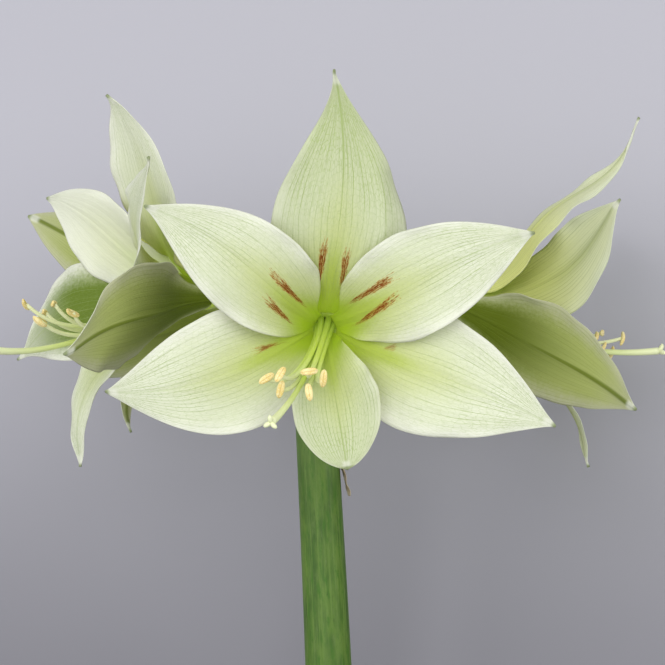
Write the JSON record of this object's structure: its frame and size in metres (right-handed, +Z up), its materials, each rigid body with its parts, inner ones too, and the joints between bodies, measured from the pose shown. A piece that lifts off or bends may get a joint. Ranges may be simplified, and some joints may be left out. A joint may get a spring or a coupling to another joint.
{
  "type": "amaryllis stem",
  "caption": "Cut amaryllis stem lying down: a thick hollow green scape with an umbel of open, greenish white, star-shaped blooms at its end.",
  "frame": {"origin": "middle of the lying stem's box from above, on the surface that it lies on", "axes": "+Y runs along the stem from its cut end to the blooms, +X is to the right seen from above with the blooms at the far end, and +Z is up, the way the front bloom looks"},
  "size_m": [0.3156, 0.5682, 0.3063],
  "materials": {
    "scape_green": "waxy satin, living green stem",
    "stalk_green": "satin, fresh green",
    "tepal_white_green": "soft matt with a faint sheen, finely veined",
    "stamen_yellow": "matt, pollen-dusted",
    "style_green": "satin",
    "spathe_brown": "matt, papery"
  },
  "bodies": {
    "root": {"scape": "scape_green", "spathe_right": "spathe_brown", "spathe_back": "spathe_brown", "front_stalk": "stalk_green", "front_outer_top": "tepal_white_green", "front_outer_lower_left": "tepal_white_green", "front_outer_lower_right": "tepal_white_green", "front_inner_upper_left": "tepal_white_green", "front_inner_upper_right": "tepal_white_green", "front_inner_bottom": "tepal_white_green", "front_stamens": "stamen_yellow", "front_style": "style_green", "left_stalk": "stalk_green", "left_outer_top": "tepal_white_green", "left_outer_lower_left": "tepal_white_green", "left_outer_lower_right": "tepal_white_green", "left_inner_upper_left": "tepal_white_green", "left_inner_upper_right": "tepal_white_green", "left_inner_bottom": "tepal_white_green", "left_stamens": "stamen_yellow", "left_style": "style_green", "right_stalk": "stalk_green", "right_outer_top": "tepal_white_green", "right_outer_lower_left": "tepal_white_green", "right_outer_lower_right": "tepal_white_green", "right_inner_upper_left": "tepal_white_green", "right_inner_upper_right": "tepal_white_green", "right_inner_bottom": "tepal_white_green", "right_stamens": "stamen_yellow", "right_style": "style_green", "back_stalk": "stalk_green", "back_outer_top": "tepal_white_green", "back_outer_lower_left": "tepal_white_green", "back_outer_lower_right": "tepal_white_green", "back_inner_upper_left": "tepal_white_green", "back_inner_upper_right": "tepal_white_green", "back_inner_bottom": "tepal_white_green", "back_stamens": "stamen_yellow", "back_style": "style_green"}
  },
  "joints": []
}
